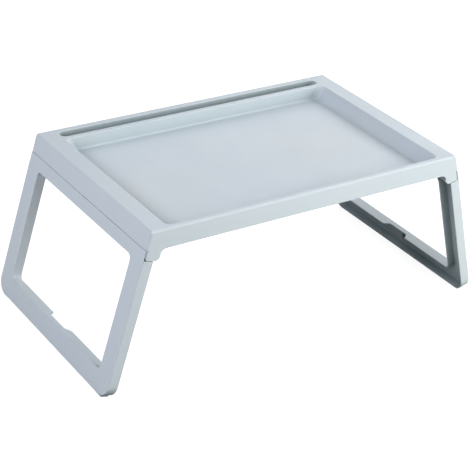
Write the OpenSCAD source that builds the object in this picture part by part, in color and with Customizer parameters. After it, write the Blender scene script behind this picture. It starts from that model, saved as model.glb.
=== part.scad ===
// Folding tray table: a moulded tray with a recessed top and a tablet slot, carried on two
// splayed leg frames that turn on hinge pins and fold flat under the tray.
// +X points to the right end, +Y to the rear (slot) side, +Z up. The origin is on the floor,
// under the middle of the tray.

/* [Tray] */
// Length of the tray along its top edge
tray_len = 550; // [480:5:640]
// Depth of the tray from front to rear
tray_depth = 362; // [320:1:420]
// Height of the tray's top above the floor
table_h = 266; // [240:1:290]
// Height of the skirt round the tray
skirt_h = 31; // [28:1:34]
// Radius of the tray's upright corners
corner_r = 4; // [2:0.5:5]
// Wall thickness of the skirt
skirt_wall = 3; // [2.5:0.5:3.5]
// How much higher the skirt stops at the two ends, over the legs' top rails
end_step = 3; // [2:0.5:4]
// Thickness of the rim, the basin walls and the basin floor
plate_wall = 2.5; // [2:0.5:3]

/* [Basin] */
// Width of the rim at each end of the basin
side_rim = 30; // [28:1:50]
// Width of the rim in front of the basin
front_rim = 9.5; // [9:0.5:30]
// Width of the rim behind the basin, which holds the slot
rear_rim = 40; // [38:1:60]
// Depth of the basin
basin_depth = 22; // [12:1:24]
// How far the end walls of the basin lean in
end_draft = 12; // [4:1:14]
// How far the front wall of the basin leans in
front_draft = 4; // [2:1:10]
// How far the rear wall of the basin leans in
rear_draft = 1.5; // [1:0.5:6]
// Corner radius of the basin at the rim
basin_corner_r = 11; // [8:1:20]
// Radius where the basin walls meet the floor
basin_foot_r = 3.5; // [2:0.5:5]

/* [Tablet slot] */
// Length of the slot, over its round ends
slot_len = 488; // [300:4:488]
// Width of the slot
slot_w = 18; // [10:1:20]
// Depth of the slot
slot_depth = 18; // [10:1:20]
// Width of rim behind the slot
slot_rear_rim = 13; // [9:1:15]

/* [Legs] */
// Outward lean of each leg frame from upright, in degrees
leg_splay = 15.1; // [10:0.1:16]
// Thickness of a leg frame
leg_thick = 16.8; // [14:0.1:16.9]
// How far a leg's outer face stands out from the skirt
leg_proud = 0; // [-0.5:0.5:1]
// Width of each leg post
post_w = 33.5; // [28:0.5:45]
// Height of the leg's top rail
rail_h = 21; // [19:0.1:26]
// Height of the leg's bottom bar
bar_h = 34; // [28:0.1:45]
// Corner radius of the gap inside the leg frame
gap_r = 8; // [5:1:12]
// Corner radius at the bottom of the leg frame
foot_r = 23; // [12:1:26]
// Thickness of the leg's outer web
leg_web = 2.5; // [2:0.5:3]
// Thickness of the walls that stand on the web
leg_wall = 2.2; // [2:0.1:3]

/* [Leg notch] */
// Length of the notch in the bottom bar's upper wall
notch_len = 64; // [46:2:80]
// Length of the notch's steep ramp
notch_step = 8; // [6:1:12]
// Length of the notch's gentle ramp
notch_ramp = 13; // [10:1:20]
// Depth of the notch
notch_depth = 8.2; // [6:0.1:12]

/* [Hinges] */
// Radius of a hinge pin
pin_r = 3; // [2.5:0.1:3.5]
// Radial clearance of a pin in its ear
pin_clearance = 0.05; // [0.02:0.01:0.1]
// Length of a hinge pin
pin_len = 20; // [16:1:24]
// Thickness of the ear that hangs from the skirt
ear_thick = 5; // [4.5:0.5:6]
// Radius of the ear round the pin
ear_r = 8.5; // [8:0.1:8.8]
// Radius of the boss on the leg round the pin
boss_r = 7; // [6:0.1:7.4]

/* [Foot pads] */
// Length of a foot pad along the bottom bar
pad_len = 19; // [14:1:24]
// Thickness of a foot pad under the bar
pad_thick = 2.2; // [2:0.1:3]

/* [Hidden] */
$fn = 64;
hull_fn = 32;
// Overlap that makes a cut pass right through
cut = 1;

plastic_colour = [0.72, 0.77, 0.80];
pad_colour = [0.55, 0.59, 0.62];
pin_colour = [0.62, 0.66, 0.69];

half_len = tray_len / 2;
half_depth = tray_depth / 2;
skirt_z = table_h - skirt_h;
floor_z = table_h - basin_depth;
end_slope = tan(leg_splay);

// Hinge axis, which runs along Y at each end
pivot_x = half_len - 7.5;
pivot_z = skirt_z - 8;

// Leg frame: x runs outwards through its thickness, z up along it, from the hinge axis
leg_out = (half_len + leg_proud - pivot_x) * cos(leg_splay) + (table_h - pivot_z) * sin(leg_splay);
leg_in = leg_out - leg_thick;
skirt_gap = 0.6;
rail_top = (skirt_z + end_step - skirt_gap - pivot_z - leg_out * sin(leg_splay)) / cos(leg_splay);
frame_lift = 0.8;
leg_bottom = -(pivot_z + leg_in * sin(leg_splay) - frame_lift) / cos(leg_splay);
gap_half = half_depth - post_w;
gap_top = rail_top - rail_h;
gap_bottom = leg_bottom + bar_h;
shoulder = -(ear_r + 0.8);
ear_gap = 0.5;
lug_half = half_depth - ear_thick - ear_gap;
boss_len = 18;
// Thin cheek of the leg's web that covers the ear's outer side, and how far it stops short of the ear's face
cheek = 1.6;
cheek_inset = 1.5;

// Ear: its outer side lies just inside the cheek, its corner stays clear of the cheek's swing,
// and a flare runs up to the skirt on its inner side
skirt_out = (half_len - pivot_x) * cos(leg_splay) + (table_h - pivot_z) * sin(leg_splay);
ear_out = leg_out - cheek - 0.4;
ear_swing = ear_out + 0.1;
flare_w = 11;
bore_depth = 3.4;
rib_wall = 2;
rib_lift = 3;

// Foot pad and its plug
pad_inset = 1;
pad_recess = 3;
pad_y = half_depth - foot_r - 11;
stem_r = 2.5;
stem_x = 8.9;
stem_y = pad_y + pad_len / 2;
head_r = 3.6;
head_len = 1.5;

// End plane of the skirt at a height z
function end_x(z) = half_len + end_slope * (table_h - z);

// ---- outlines ----

module round_rect(low, high, r) {
    translate(low + [r, 0]) square([high.x - low.x - 2 * r, high.y - low.y]);
    translate(low + [0, r]) square([high.x - low.x, high.y - low.y - 2 * r]);
    for (u = [low.x + r, high.x - r], v = [low.y + r, high.y - r]) {
        translate([u, v]) circle(r);
    }
}

// Extrudes an X-Z outline along Y
module along_y(y0, y1) {
    translate([0, y1, 0]) rotate([90, 0, 0]) linear_extrude(y1 - y0) children();
}

// Extrudes a Y-Z outline along X
module along_x(x0, x1) {
    translate([x0, 0, 0]) rotate([90, 0, 90]) linear_extrude(x1 - x0) children();
}

// Repeats the right half on the left, turned half round
module both_ends() {
    children();
    rotate([0, 0, 180]) children();
}

// Repeats the rear half at the front
module front_and_rear() {
    children();
    mirror([0, 1, 0]) children();
}

// Places a shape drawn in a leg's own frame: side is 1 on the right and -1 on the left
module at_leg(side) {
    rotate([0, 0, side > 0 ? 0 : 180])
        translate([pivot_x, 0, pivot_z])
            rotate([0, -leg_splay, 0])
                children();
}

// ---- tray ----

// Solid between the end planes, from z0 up to z1
module end_planes(z0, z1, inset) {
    polygon([
        [-end_x(z0) + inset, z0], [end_x(z0) - inset, z0],
        [end_x(z1) - inset, z1], [-end_x(z1) + inset, z1]
    ]);
}

// One level of the basin: its walls lean in with depth below the rim
module basin_level(z, shrink, grow) {
    lean = (table_h - z) / basin_depth;
    x = half_len - side_rim - end_draft * lean - shrink + grow;
    y0 = -half_depth + front_rim + front_draft * lean + shrink - grow;
    y1 = half_depth - rear_rim - rear_draft * lean - shrink + grow;
    r = basin_corner_r + grow;
    for (u = [-x + r, x - r], v = [y0 + r, y1 - r]) {
        translate([u, v, z]) cylinder(r = r, h = 0.01, $fn = hull_fn);
    }
}

// The basin's space, or with grow its outer shell: leaning walls and a rounded foot
module basin(grow) {
    foot = basin_foot_r;
    translate([0, 0, -grow]) hull() {
        basin_level(table_h + grow + (grow > 0 ? -cut : cut), 0, grow);
        for (a = [0:18:90]) {
            basin_level(floor_z + foot * (1 - sin(a)), foot * (1 - cos(a)), grow);
        }
    }
}

// The slot's space, or with grow its outer shell
module slot(grow) {
    r = slot_w / 2 + grow;
    y = half_depth - slot_rear_rim - slot_w / 2;
    x = slot_len / 2 - slot_w / 2;
    z0 = table_h - slot_depth - grow;
    h = slot_depth + grow + (grow > 0 ? -cut : cut);
    translate([-x, y - r, z0]) cube([2 * x, 2 * r, h]);
    for (u = [-x, x]) {
        translate([u, y, z0]) cylinder(r = r, h = h);
    }
}

// Outline of an ear with its root, which reaches up inside the skirt
module ear_outline() {
    pivot = [pivot_x, pivot_z];
    root_x = end_x(table_h - cut) - (skirt_out - ear_out) / cos(leg_splay);
    b0 = acos(ear_out / ear_swing);
    b1 = asin(ear_r / ear_swing);
    corner = [for (k = [0:6]) pivot + ear_swing * [
        cos(leg_splay - b0 - (b1 - b0) * k / 6),
        sin(leg_splay - b0 - (b1 - b0) * k / 6)
    ]];
    round_part = [for (a = [leg_splay - 90 : -(90 + leg_splay) / 14 : -179.9]) pivot + ear_r * [cos(a), sin(a)]];
    flare = [for (a = [0:7.5:90]) [
        pivot_x - ear_r - flare_w * (1 - cos(a)),
        pivot_z + (skirt_z - pivot_z) * sin(a)
    ]];
    polygon(concat(
        [[root_x, table_h - cut]],
        corner,
        round_part,
        flare,
        [[pivot_x - ear_r - flare_w, table_h - cut]]
    ));
}

// What is cut away to round the upright corners of a part whose outer end lies at face in the leg's frame
module corner_cutters(face) {
    arc = [for (a = [0:15:90]) corner_r / cos(7.5) * [cos(a), sin(a)]];
    outside = [[0, corner_r + cut], [corner_r + cut, corner_r + cut], [corner_r + cut, 0]];
    for (side = [-1, 1]) {
        at_leg(side) front_and_rear() translate([face - corner_r, half_depth - corner_r, -50])
            linear_extrude(100) polygon(concat(arc, outside));
    }
}

module ears() {
    difference() {
        both_ends() front_and_rear() along_y(half_depth - ear_thick, half_depth) ear_outline();
        corner_cutters(ear_out);
    }
}

// Thin ribs that brace the hollow rim
module rim_ribs() {
    rib_h = skirt_h - rib_lift - cut;
    z0 = skirt_z + rib_lift;
    both_ends() for (y = [-120:60:120]) {
        translate([half_len - side_rim, y - rib_wall / 2, z0]) cube([side_rim + 10, rib_wall, rib_h]);
    }
    for (x = [-210:70:210]) {
        translate([x - rib_wall / 2, half_depth - rear_rim, z0]) cube([rib_wall, rear_rim, rib_h]);
        translate([x - rib_wall / 2, -half_depth, z0]) cube([rib_wall, front_rim + 1, rib_h]);
    }
}

// The hollow under the rim and floor, open below
module underside() {
    difference() {
        along_y(-half_depth + skirt_wall, half_depth - skirt_wall)
            end_planes(skirt_z - cut, table_h - plate_wall, skirt_wall / cos(leg_splay));
        basin(plate_wall);
        slot(plate_wall);
        ears();
        rim_ribs();
    }
}

module tray() {
    color(plastic_colour) difference() {
        union() {
            difference() {
                along_y(-half_depth, half_depth) end_planes(skirt_z, table_h, 0);
                both_ends() translate([pivot_x, -half_depth - cut, skirt_z - cut])
                    cube([tray_len, tray_depth + 2 * cut, end_step + cut]);
                corner_cutters(skirt_out);
            }
            ears();
        }
        underside();
        basin(0);
        slot(0);
        both_ends() front_and_rear() translate([pivot_x, half_depth - ear_thick + bore_depth, pivot_z])
            rotate([90, 0, 0]) cylinder(r = pin_r + pin_clearance, h = bore_depth + cut);
    }
}

// ---- leg frames ----

// Outside of the frame
module frame_outline() {
    round_rect([-half_depth, leg_bottom], [half_depth, gap_bottom + foot_r], foot_r);
    translate([-half_depth, leg_bottom + foot_r]) square([tray_depth, shoulder - leg_bottom - foot_r]);
    translate([cheek_inset - half_depth, gap_bottom])
        square([tray_depth - 2 * cheek_inset, rail_top - gap_bottom]);
}

// Outside of its channel, which narrows between the ears
module channel_outline() {
    inset = leg_wall;
    round_rect([-half_depth + inset, leg_bottom + inset], [half_depth - inset, gap_bottom + foot_r], foot_r - inset);
    translate([-half_depth + inset, leg_bottom + foot_r])
        square([tray_depth - 2 * inset, shoulder - leg_bottom - foot_r - inset]);
    translate([-lug_half + inset, gap_bottom])
        square([2 * (lug_half - inset), rail_top - gap_bottom - inset]);
}

module gap_outline(outset) {
    round_rect([-gap_half - outset, gap_bottom - outset], [gap_half + outset, gap_top + outset], gap_r + outset);
}

// Notch in the bottom bar's upper wall, with a steep ramp at one end and a gentle one at the other
module leg_notch() {
    y0 = -notch_len / 2;
    y1 = notch_len / 2;
    rise = [for (a = [0:15:180]) [leg_in + notch_depth * (1 - cos(a)) / 2, y0 + notch_step * a / 180]];
    fall = [for (a = [0:15:180]) [leg_in + notch_depth * (1 + cos(a)) / 2, y1 - notch_ramp * (1 - a / 180)]];
    translate([0, 0, gap_bottom - leg_wall - 0.1]) linear_extrude(leg_wall + 0.2)
        polygon(concat([[leg_in - cut, y0]], rise, fall, [[leg_in - cut, y1]]));
}

// Thin rib in the channel under the notch, near its steep ramp
module cross_rib() {
    translate([leg_in + notch_depth - 0.5, notch_step - notch_len / 2 + 11.5, gap_bottom - leg_wall / 2 - 15])
        cube([leg_thick - notch_depth + 0.5 - leg_web / 2, 2, 15]);
}

// Small round recesses: one on top of the bottom bar, one inside a post
module dimples() {
    translate([leg_in + 11.9, gap_half - 13, gap_bottom - 1]) cylinder(r1 = 1.2, r2 = 2.2, h = 1 + cut / 10, $fn = 32);
    translate([leg_out - leg_web - cut, -gap_half - 10, gap_bottom + 58.6])
        rotate([0, 90, 0]) cylinder(r = 1.5, h = cut + 0.8, $fn = 32);
}

// Room for the ears, which leaves a thin cheek of the web outside each
module ear_rooms() {
    front_and_rear() translate([leg_in - cut, lug_half, shoulder])
        cube([leg_thick - cheek + cut, half_depth - lug_half + cut, rail_top - shoulder + cut]);
}

module leg_frame(side) {
    color(plastic_colour) at_leg(side) difference() {
        union() {
            difference() {
                along_x(leg_in, leg_out) difference() {
                    frame_outline();
                    gap_outline(0);
                }
                ear_rooms();
                along_x(leg_in - cut, leg_out - leg_web) difference() {
                    channel_outline();
                    gap_outline(leg_wall);
                }
            }
            front_and_rear() translate([0, lug_half, 0]) rotate([90, 0, 0]) cylinder(r = boss_r, h = boss_len);
            cross_rib();
        }
        leg_notch();
        dimples();
        front_and_rear() translate([0, lug_half + cut, 0]) rotate([90, 0, 0])
            cylinder(r = pin_r, h = cut + pin_len - bore_depth);
        front_and_rear() translate([stem_x, stem_y, leg_bottom - cut]) cylinder(r = stem_r, h = leg_wall + 2 * cut);
    }
}

// ---- small pieces ----

// Hinge pin with chamfered ends, pressed into the leg's boss: depth_side is -1 at the front
module hinge_pin(side, depth_side) {
    chamfer = 0.5;
    tip = half_depth - ear_thick + bore_depth - 0.2;
    color(pin_colour) at_leg(side) mirror([0, depth_side * side < 0 ? 1 : 0, 0])
        translate([0, tip, 0]) rotate([90, 0, 0]) rotate_extrude() polygon([
            [0, 0], [pin_r - chamfer, 0], [pin_r, chamfer],
            [pin_r, pin_len - chamfer], [pin_r - chamfer, pin_len], [0, pin_len]
        ]);
}

// Foot pad with a plug that snaps through the bar's bottom wall; its sole is level with the floor
module foot_pad(side, depth_side) {
    color(pad_colour) difference() {
        at_leg(side) mirror([0, depth_side * side < 0 ? 1 : 0, 0]) {
            along_x(leg_in + pad_inset, leg_out - pad_recess) difference() {
                round_rect([pad_y, leg_bottom - pad_thick], [pad_y + pad_len, leg_bottom + foot_r / 2], 2);
                frame_outline();
                translate([pad_y - cut, leg_bottom]) square([foot_r / 2, foot_r]);
            }
            translate([stem_x, stem_y, leg_bottom - cut]) cylinder(r = stem_r, h = leg_wall + cut);
            translate([stem_x, stem_y, leg_bottom + leg_wall]) cylinder(r1 = head_r, r2 = stem_r - 0.5, h = head_len);
        }
        translate([-tray_len, -tray_depth, -table_h]) cube([2 * tray_len, 2 * tray_depth, table_h]);
    }
}

tray();
leg_frame(-1);  // left_leg_frame
leg_frame(1);  // right_leg_frame
hinge_pin(-1, -1);  // front_left_hinge_pin
hinge_pin(-1, 1);  // rear_left_hinge_pin
hinge_pin(1, -1);  // front_right_hinge_pin
hinge_pin(1, 1);  // rear_right_hinge_pin
foot_pad(-1, -1);  // front_left_foot_pad
foot_pad(-1, 1);  // rear_left_foot_pad
foot_pad(1, -1);  // front_right_foot_pad
foot_pad(1, 1);  // rear_right_foot_pad
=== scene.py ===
"""Looks of the folding tray table.

Every CAD node is replaced by its own shape with rounded edges, in fine-grained plastic or rubber, and
stands on a pale studio floor under soft lamps, seen by the photograph's camera.
"""

import math

import bmesh
import bpy
from mathutils import Euler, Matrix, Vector
from mathutils.bvhtree import BVHTree


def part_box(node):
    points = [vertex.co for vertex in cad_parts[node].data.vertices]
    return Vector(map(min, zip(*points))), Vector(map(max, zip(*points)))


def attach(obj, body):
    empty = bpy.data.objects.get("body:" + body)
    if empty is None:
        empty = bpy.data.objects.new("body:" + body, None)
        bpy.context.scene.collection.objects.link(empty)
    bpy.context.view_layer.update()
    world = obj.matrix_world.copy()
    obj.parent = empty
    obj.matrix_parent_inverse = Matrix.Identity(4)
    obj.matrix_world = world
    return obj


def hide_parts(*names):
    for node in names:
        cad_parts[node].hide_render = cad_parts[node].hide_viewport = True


MM = 0.001

# Camera that sees the object as in the photograph
CAMERA_PLACE = (-1.2167, -1.7694, 1.2787)
CAMERA_TURN = (1.06941, -0.05294, -0.56881)
CAMERA_LENS = 116.26
SENSOR = 36.0

# Softened edges of the mouldings
TRAY_RIM_ROUND = 3.2 * MM
BASIN_RIM_ROUND = 1.6 * MM
SLOT_RIM_ROUND = 0.6 * MM
SMALL_ROUND = 0.5 * MM
LEG_OUTER_ROUND = 1.8 * MM
LEG_INNER_ROUND = 0.6 * MM
CHEEK_ROUND = 0.6 * MM
CHEEK_INNER_ROUND = 0.3 * MM
TINY = 0.6 * MM
TINY_ROUND = 0.15 * MM
PAD_ROUND = 0.4 * MM
PIN_ROUND = 0.15 * MM
# A rounded corner may stand this far outside the CAD surface, as a fillet does
STRAY = 0.3 * MM
SHARPEST_KEPT = 30
SMOOTH_UNDER = 38

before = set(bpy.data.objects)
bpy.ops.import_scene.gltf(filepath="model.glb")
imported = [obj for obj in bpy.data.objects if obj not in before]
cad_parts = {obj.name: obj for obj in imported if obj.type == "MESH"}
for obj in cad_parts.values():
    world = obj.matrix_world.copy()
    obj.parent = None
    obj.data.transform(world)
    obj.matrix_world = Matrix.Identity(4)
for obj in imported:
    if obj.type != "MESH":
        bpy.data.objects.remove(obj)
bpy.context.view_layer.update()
TRAY_HIGH = Vector(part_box("tray")[1])

# Half the tray's length at its top edge, and how far its ends and the legs lean out
HALF_LENGTH = 0.275
LEG_SPLAY = math.radians(15.1)
# Beyond these, seen from the middle of the tray, an edge belongs to the outside of the rim or to the slot
RIM_X = 0.270
RIM_Y = 0.176
SLOT_Y = 0.1485
# Beyond these are the upright corners of the skirt and ears, where the edges are short
CORNER_X = 0.2755
CORNER_Y = 0.1765
# Above this the legs reach up beside the ears
CHEEK_Z = 0.2200
# An edge or point this near a face counts as lying on it
RIM_SLACK = 0.3 * MM
FACE_SLACK = 0.4 * MM
# Points closer than this are one, and faces flatter than this many degrees are one
SAME_POINT = 0.002 * MM
SAME_FACE = 0.4
SHORTEST_EDGE = 0.01 * MM


# ---------------------------------------------------------------- meshes

def clean_copy(node):
    """A node's shape as a bmesh, its flat faces merged so that only true edges are left.

    A cut across the middle keeps the faces that go round an opening in two simple halves.
    """
    bm = bmesh.new()
    bm.from_mesh(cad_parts[node].data)
    bmesh.ops.remove_doubles(bm, verts=bm.verts, dist=SAME_POINT)
    across = (1, 0, 0) if node == "tray" else (0, 1, 0)
    whole = bm.verts[:] + bm.edges[:] + bm.faces[:]
    halved = bmesh.ops.bisect_plane(bm, geom=whole, dist=SAME_POINT / 2, plane_co=(0, 0, 0), plane_no=across)
    for edge in halved["geom_cut"]:
        if isinstance(edge, bmesh.types.BMEdge):
            edge.seam = True
    bmesh.ops.dissolve_limit(
        bm, angle_limit=math.radians(SAME_FACE), verts=bm.verts, edges=bm.edges, delimit={"SEAM"})
    return bm


def weigh_edges(bm, width_of):
    """Marks each sharp edge with its own rounding width, as a share of the widest, and returns the widest."""
    layer = bm.edges.layers.float.new("bevel_weight_edge")
    widths = {}
    for edge in bm.edges:
        if len(edge.link_faces) == 2 and edge.calc_face_angle(0) > math.radians(SHARPEST_KEPT):
            widths[edge] = width_of(edge)
    widest = max(widths.values())
    for edge, width in widths.items():
        edge[layer] = width / widest
    return widest


def softened(node, body, width_of, material, segments=3):
    """A copy of a CAD node with its edges rounded, riding on body and standing for the node."""
    bm = clean_copy(node)
    widest = weigh_edges(bm, width_of)
    mesh = bpy.data.meshes.new(node + "_shape")
    bm.to_mesh(mesh)
    bm.free()
    obj = bpy.data.objects.new(node + "_moulding", mesh)
    bpy.context.scene.collection.objects.link(obj)
    rounding = obj.modifiers.new("rounded_edges", "BEVEL")
    rounding.limit_method = "WEIGHT"
    rounding.offset_type = "OFFSET"
    rounding.width = widest
    rounding.segments = segments
    rounding.use_clamp_overlap = False
    bake_shape(obj)
    pull_in(obj.data, node)
    weighted = obj.modifiers.new("face_weighted_normals", "WEIGHTED_NORMAL")
    weighted.keep_sharp = True
    weighted.weight = 100
    obj.data.materials.append(material)
    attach(obj, body)
    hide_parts(node)
    return obj


def bake_shape(obj):
    """Applies the object's modifiers and shades its rounded mesh smooth."""
    graph = bpy.context.evaluated_depsgraph_get()
    mesh = bpy.data.meshes.new_from_object(obj.evaluated_get(graph))
    obj.modifiers.clear()
    old = obj.data
    obj.data = mesh
    bpy.data.meshes.remove(old)
    bm = bmesh.new()
    bm.from_mesh(mesh)
    bmesh.ops.dissolve_degenerate(bm, dist=SHORTEST_EDGE, edges=bm.edges)
    bm.to_mesh(mesh)
    bm.free()
    for polygon in mesh.polygons:
        polygon.use_smooth = True
    mesh.set_sharp_from_angle(angle=math.radians(SMOOTH_UNDER))


def pull_in(mesh, node):
    """Brings the stray vertices of tight rounded corners back to the CAD surface."""
    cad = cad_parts[node].data
    surface = BVHTree.FromPolygons([v.co for v in cad.vertices], [tuple(p.vertices) for p in cad.polygons])
    for vertex in mesh.vertices:
        place, normal, _, distance = surface.find_nearest(vertex.co)
        if distance > STRAY and (vertex.co - place).dot(normal) > 0:
            vertex.co = place


def convex(edge):
    """True where the material is on the inside of the edge's corner."""
    one, other = edge.link_faces
    outward = one.normal + other.normal
    inside = (one.calc_center_median() + other.calc_center_median()) / 2
    middle = (edge.verts[0].co + edge.verts[1].co) / 2
    return (middle - inside).dot(outward) > 0


def tray_width(edge):
    """How far an edge of the tray is rounded: most along the rim's outside, less in the basin and slot."""
    points = [v.co for v in edge.verts]
    if edge.calc_length() < TINY:
        return TINY_ROUND
    if all(p.z > TRAY_HIGH.z - RIM_SLACK for p in points):
        if all(abs(p.y) > RIM_Y or abs(p.x) > RIM_X for p in points):
            return TRAY_RIM_ROUND
        return SLOT_RIM_ROUND if all(p.y > SLOT_Y for p in points) else BASIN_RIM_ROUND
    if all(abs(p.x) > CORNER_X and abs(p.y) > CORNER_Y for p in points):
        return TINY_ROUND
    return SMALL_ROUND


def leg_width(edge):
    """How far an edge of a leg is rounded: the outside of the frame more than the walls of its channel."""
    points = [v.co for v in edge.verts]
    if edge.calc_length() < TINY:
        return TINY_ROUND
    thin = all(p.z > CHEEK_Z for p in points)
    if all(on_outer_face(p) for p in points) and convex(edge):
        return CHEEK_ROUND if thin else LEG_OUTER_ROUND
    return CHEEK_INNER_ROUND if thin else LEG_INNER_ROUND


def on_outer_face(point):
    """True for a point on a leg's outer face, which carries on the plane of the tray's end."""
    plane = HALF_LENGTH + math.tan(LEG_SPLAY) * (TRAY_HIGH.z - point.z)
    return abs(point.x) > plane - FACE_SLACK


# ---------------------------------------------------------------- materials

def srgb(r, g, b):
    """Linear colour of 0 to 255 display values."""
    return tuple(((c / 255 + 0.055) / 1.055) ** 2.4 for c in (r, g, b))


def scaled(colour, by):
    """A colour times one factor, or times one factor for each channel."""
    factors = by if isinstance(by, tuple) else (by,) * 3
    return tuple(c * k for c, k in zip(colour, factors))


class Shading:
    """A material whose nodes are added one after the other."""

    def __init__(self, name):
        self.material = bpy.data.materials.new(name)
        self.material.use_nodes = True
        self.tree = self.material.node_tree
        self.shader = self.tree.nodes["Principled BSDF"]
        self.place = self.add("ShaderNodeTexCoord").outputs["Object"]

    def add(self, kind, **settings):
        node = self.tree.nodes.new(kind)
        for key, value in settings.items():
            setattr(node, key, value)
        return node

    def link(self, output, target):
        self.tree.links.new(output, target)

    def noise(self, scale, detail=2.0, roughness=0.5, stretch=None):
        place = self.place
        if stretch:
            mapping = self.add("ShaderNodeMapping")
            mapping.inputs["Scale"].default_value = stretch
            self.link(place, mapping.inputs["Vector"])
            place = mapping.outputs["Vector"]
        node = self.add("ShaderNodeTexNoise")
        node.inputs["Scale"].default_value = scale
        node.inputs["Detail"].default_value = detail
        node.inputs["Roughness"].default_value = roughness
        self.link(place, node.inputs["Vector"])
        return node.outputs["Fac"]

    def remap(self, value, low, high, to_low, to_high):
        node = self.add("ShaderNodeMapRange", interpolation_type="SMOOTHSTEP")
        for key, number in (("From Min", low), ("From Max", high), ("To Min", to_low), ("To Max", to_high)):
            node.inputs[key].default_value = number
        self.link(value, node.inputs["Value"])
        return node.outputs["Result"]

    def mix(self, share, one, other):
        """Blend of two colours; each is a socket or a plain colour."""
        node = self.add("ShaderNodeMix", data_type="RGBA")
        sockets = [s for s in node.inputs if s.type == "RGBA"]
        for value, socket in ((one, sockets[0]), (other, sockets[1])):
            if isinstance(value, tuple):
                socket.default_value = (*value, 1)
            else:
                self.link(value, socket)
        self.link(share, node.inputs[0])
        return [s for s in node.outputs if s.type == "RGBA"][0]

    def maths(self, operation, one, other):
        node = self.add("ShaderNodeMath", operation=operation)
        for value, socket in ((one, node.inputs[0]), (other, node.inputs[1])):
            if isinstance(value, (int, float)):
                socket.default_value = value
            else:
                self.link(value, socket)
        return node.outputs[0]

    def bump(self, height, distance, strength=1.0, after=None):
        node = self.add("ShaderNodeBump")
        node.inputs["Strength"].default_value = strength
        node.inputs["Distance"].default_value = distance
        self.link(height, node.inputs["Height"])
        if after:
            self.link(after, node.inputs["Normal"])
        return node.outputs["Normal"]

    def edges(self, radius):
        """1 along the model's rounded outer edges, 0 elsewhere."""
        bevel = self.add("ShaderNodeBevel", samples=4)
        bevel.inputs["Radius"].default_value = radius
        geometry = self.add("ShaderNodeNewGeometry")
        dot = self.add("ShaderNodeVectorMath", operation="DOT_PRODUCT")
        self.link(bevel.outputs["Normal"], dot.inputs[0])
        self.link(geometry.outputs["Normal"], dot.inputs[1])
        return self.remap(dot.outputs["Value"], 0.80, 0.99, 1.0, 0.0)

    def hollows(self, distance):
        """1 in the open, falling to 0 in deep corners."""
        node = self.add("ShaderNodeAmbientOcclusion", samples=6)
        node.inputs["Distance"].default_value = distance
        return node.outputs["AO"]


# Plastic: what each layer of its colour multiplies the main colour by
CLOUDS_WARM = (1.008, 1.0, 0.992)
CLOUDS_COOL = (0.982, 0.992, 1.004)
FLOW_MARKS = 0.965
SPECKLE = 0.90
# Edges turn paler by this, partly as wear and partly as a painted highlight
WEAR_AND_SHEEN = 1.10
# Painted shade: hollows, the legs' channels and the basin's walls darken towards this, standing in for the
# shade that falls there
PAINTED_SHADE_TINT = (0.20, 0.33, 0.28)
# Painted shade: narrow seams and gaps between parts darken towards this
SEAM_SHADE = 0.04
# Cells per metre of each pattern
CLOUD_SCALE = 5.0
FLOW_SCALE = 9.0
SINK_SCALE = 14.0
SMEAR_SCALE = 26.0
PATCH_SCALE = 60.0
SPECKLE_SCALE = 900.0
GRAIN_SCALE = 1700.0
# Widths and depths of its surface detail
WEAR_AND_SHEEN_WIDTH = 1.1 * MM
SEAM_WIDTH = 3 * MM
SINK_DEPTH = 0.35 * MM
PLASTIC_IOR = 1.49
PLASTIC_SPECULAR = 0.42


def plastic_colour(s, colour, patchy, painted_shade, reach, open_from):
    """Cloudy colour with flow marks and speckle; pale on edges, partly as wear and partly as painted
    highlight; and painted shade, dark in hollows and near black in seams.
    """
    clouds = s.noise(CLOUD_SCALE, 3.0)
    flow = s.noise(FLOW_SCALE, 2.0, stretch=(0.4, 2.2, 2.2))
    speckle = s.noise(SPECKLE_SCALE, 2.0, 0.6)
    warm = scaled(colour, CLOUDS_WARM)
    cool = scaled(colour, CLOUDS_COOL)
    base = s.mix(s.remap(clouds, 0.35, 0.65, 0.0, 1.0), cool, warm)
    base = s.mix(s.remap(flow, 0.45, 0.75, 0.0, 0.3), base, scaled(colour, FLOW_MARKS))
    base = s.mix(s.remap(speckle, 0.58, 0.78, 0.0, 0.18), base, scaled(colour, SPECKLE))
    # Edges turn paler, partly as wear and partly as a painted highlight
    pale = tuple(min(c + 0.02, 0.95) for c in scaled(colour, WEAR_AND_SHEEN))
    base = s.mix(s.maths("MULTIPLY", patchy, 0.3), base, pale)
    # Painted shade: an ambient-occlusion node darkens the colour in hollows, where shade falls
    corner = s.remap(s.hollows(reach), 0.10, open_from, painted_shade, 0.0)
    base = s.mix(corner, base, scaled(colour, PAINTED_SHADE_TINT))
    # Painted shade: near black in narrow seams and gaps between parts, where shade falls
    seam = s.remap(s.hollows(SEAM_WIDTH), 0.10, 0.58, 0.97, 0.0)
    return s.mix(seam, base, scaled(colour, SEAM_SHADE))


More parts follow.
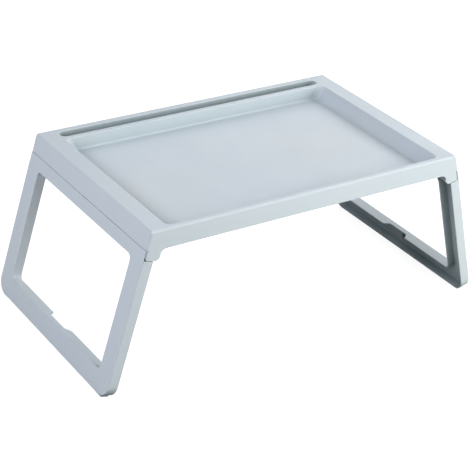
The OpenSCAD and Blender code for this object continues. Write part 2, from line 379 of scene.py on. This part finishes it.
def moulded_plastic(name, colour, gloss, painted_shade, reach, open_from=0.60, grain=0.03 * MM):
    """Matt moulded plastic with spark-eroded grain and faint sink marks.

    gloss is the range of its roughness. The fourth argument is how dark hollows get with painted shade, which
    stands in for the shade that falls there; reach is how deep a hollow counts, and open_from is the
    openness, from 0 to 1, above which a place gets no painted shade.
    """
    s = Shading(name)
    wear_and_sheen_patches = s.remap(s.noise(PATCH_SCALE, 3.0), 0.3, 0.7, 0.25, 1.0)
    patchy = s.maths("MULTIPLY", s.edges(WEAR_AND_SHEEN_WIDTH), wear_and_sheen_patches)
    base = plastic_colour(s, colour, patchy, painted_shade, reach, open_from)
    s.link(base, s.shader.inputs["Base Color"])
    smears = s.noise(SMEAR_SCALE, 4.0, 0.6, stretch=(1.0, 0.5, 1.0))
    rough = s.remap(smears, 0.3, 0.7, *gloss)
    rough = s.maths("SUBTRACT", rough, s.maths("MULTIPLY", patchy, 0.10))
    s.link(rough, s.shader.inputs["Roughness"])
    s.shader.inputs["IOR"].default_value = PLASTIC_IOR
    s.shader.inputs["Specular IOR Level"].default_value = PLASTIC_SPECULAR
    sink = s.bump(s.noise(SINK_SCALE, 1.0), SINK_DEPTH, 0.25)
    fine = s.bump(s.noise(GRAIN_SCALE, 3.0, 0.65), grain, 0.5, after=sink)
    s.link(fine, s.shader.inputs["Normal"])
    return s.material


def rubber(name, colour):
    """Soft pad material: uneven dark spots, rough, pitted, scuffed paler on its edges."""
    s = Shading(name)
    spots = s.remap(s.noise(80.0, 4.0), 0.35, 0.7, 0.0, 1.0)
    base = s.mix(spots, colour, scaled(colour, 0.82))
    scuffed = s.edges(0.6 * MM)
    base = s.mix(s.maths("MULTIPLY", scuffed, 0.5), base, scaled(colour, 1.2))
    s.link(base, s.shader.inputs["Base Color"])
    s.link(s.remap(s.noise(40.0), 0.3, 0.7, 0.72, 0.88), s.shader.inputs["Roughness"])
    s.link(s.bump(s.noise(1100.0, 4.0, 0.7), 0.06 * MM, 0.6), s.shader.inputs["Normal"])
    return s.material


def floor_paper():
    """Pale studio paper. The camera sees it near white with faint shadows; it throws little light back up."""
    s = Shading("floor_paper")
    fibre = s.noise(300.0, 4.0, 0.6)
    tint = s.mix(s.remap(fibre, 0.3, 0.7, 0.0, 1.0), (FLOOR_BOUNCE,) * 3, (FLOOR_BOUNCE * 0.97,) * 3)
    s.link(tint, s.shader.inputs["Base Color"])
    s.shader.inputs["Roughness"].default_value = 0.95
    s.shader.inputs["Specular IOR Level"].default_value = 0.1
    s.link(s.bump(fibre, 0.05 * MM, 0.3), s.shader.inputs["Normal"])
    bright = s.add("ShaderNodeEmission")
    bright.inputs["Color"].default_value = (1, 1, 1, 1)
    bright.inputs["Strength"].default_value = FLOOR_GLOW
    both = s.add("ShaderNodeAddShader")
    s.link(s.shader.outputs[0], both.inputs[0])
    s.link(bright.outputs[0], both.inputs[1])
    seen = s.add("ShaderNodeLightPath")
    pick = s.add("ShaderNodeMixShader")
    s.link(seen.outputs["Is Camera Ray"], pick.inputs[0])
    s.link(s.shader.outputs[0], pick.inputs[1])
    s.link(both.outputs[0], pick.inputs[2])
    output = next(n for n in s.tree.nodes if n.type == "OUTPUT_MATERIAL")
    s.link(pick.outputs[0], output.inputs["Surface"])
    return s.material


# ---------------------------------------------------------------- the object

PALE = srgb(201, 210, 217)
GREY = srgb(176, 184, 190)
MATT = (0.46, 0.58)
SATIN = (0.30, 0.40)

# The tray, legs and pins carry painted shade in their hollows, strongest in the legs' channels
tray_plastic = moulded_plastic("tray_plastic", PALE, MATT, painted_shade=0.50, reach=45 * MM, open_from=0.95)
leg_plastic = moulded_plastic("leg_plastic", scaled(PALE, 0.99), MATT, painted_shade=1.0, reach=85 * MM)
pin_plastic = moulded_plastic("pin_plastic", GREY, SATIN, painted_shade=0.3, reach=12 * MM, grain=0.01 * MM)
pad_rubber = rubber("pad_rubber", GREY)

softened("tray", "tray_body", tray_width, tray_plastic)
for side in ("left", "right"):
    leg = side + "_leg"
    softened(leg + "_frame", leg, leg_width, leg_plastic)
    for end in ("front", "rear"):
        softened(f"{end}_{side}_hinge_pin", leg, lambda edge: PIN_ROUND, pin_plastic, 2)
        softened(f"{end}_{side}_foot_pad", leg, lambda edge: PAD_ROUND, pad_rubber, 2)


# ---------------------------------------------------------------- stage

# The floor's grey for light that bounces, and what it and the backdrop glow with for the camera
FLOOR_BOUNCE = 0.38
FLOOR_GLOW = 0.90
BACKDROP_GLOW = 0.90
FLOOR_REACH = 30
# Colours of the lamps
NEUTRAL = (1.0, 1.0, 1.0)
SKY = (0.98, 0.985, 1.04)
WARM = (1.0, 1.01, 0.96)
# Each lamp's name, place, size, power in watts and colour
LIGHTS = [
    ("front_right", (1.9, -1.9, 1.0), 1.6, 51, WARM),
    ("left_mid", (-2.2, -0.3, 1.6), 1.2, 33, SKY),
    ("left_rear", (-2.0, 1.0, 1.7), 1.2, 13, SKY),
    ("rear_right", (1.6, 1.6, 1.6), 1.6, 22, NEUTRAL),
    ("front_left", (-1.9, -1.9, 1.0), 1.6, 8, SKY),
    ("right_top", (1.6, 0.0, 2.0), 1.6, 19, NEUTRAL),
    ("near_front", (0.3, -1.1, 0.5), 0.7, 4.6, WARM),
]
# Where the lamps point
AIM = (0, 0, 0.2)


def make_floor():
    """A wide sheet of paper under the object."""
    mesh = bpy.data.meshes.new("floor")
    bm = bmesh.new()
    bmesh.ops.create_grid(bm, x_segments=1, y_segments=1, size=FLOOR_REACH)
    bm.to_mesh(mesh)
    bm.free()
    floor = bpy.data.objects.new("floor", mesh)
    bpy.context.scene.collection.objects.link(floor)
    mesh.materials.append(floor_paper())


def area_light(name, place, size, power, colour):
    """A soft square lamp that points at the object."""
    data = bpy.data.lights.new(name, "AREA")
    data.shape = "SQUARE"
    data.size = size
    data.energy = power
    data.color = colour
    obj = bpy.data.objects.new(name, data)
    obj.location = place
    obj.rotation_euler = (Vector(AIM) - Vector(place)).to_track_quat("-Z", "Y").to_euler()
    bpy.context.scene.collection.objects.link(obj)


def make_world():
    """A pale backdrop beyond the floor, which only the camera sees: the lamps give all the light."""
    world = bpy.data.worlds.new("studio")
    bpy.context.scene.world = world
    world.use_nodes = True
    tree = world.node_tree
    seen = tree.nodes.new("ShaderNodeLightPath")
    glow = tree.nodes.new("ShaderNodeMath")
    glow.operation = "MULTIPLY"
    glow.inputs[1].default_value = BACKDROP_GLOW
    tree.links.new(seen.outputs["Is Camera Ray"], glow.inputs[0])
    background = tree.nodes["Background"]
    background.inputs["Color"].default_value = (1, 1, 1, 1)
    tree.links.new(glow.outputs[0], background.inputs["Strength"])


def make_camera():
    """The photograph's camera, solved from the object's edges."""
    data = bpy.data.cameras.new("camera")
    data.lens = CAMERA_LENS
    data.sensor_width = SENSOR
    camera = bpy.data.objects.new("camera", data)
    camera.location = CAMERA_PLACE
    camera.rotation_euler = Euler(CAMERA_TURN, "XYZ")
    bpy.context.scene.collection.objects.link(camera)
    bpy.context.scene.camera = camera


make_floor()
for light in LIGHTS:
    area_light(*light)
make_world()
make_camera()
bpy.context.scene.view_settings.view_transform = "Standard"
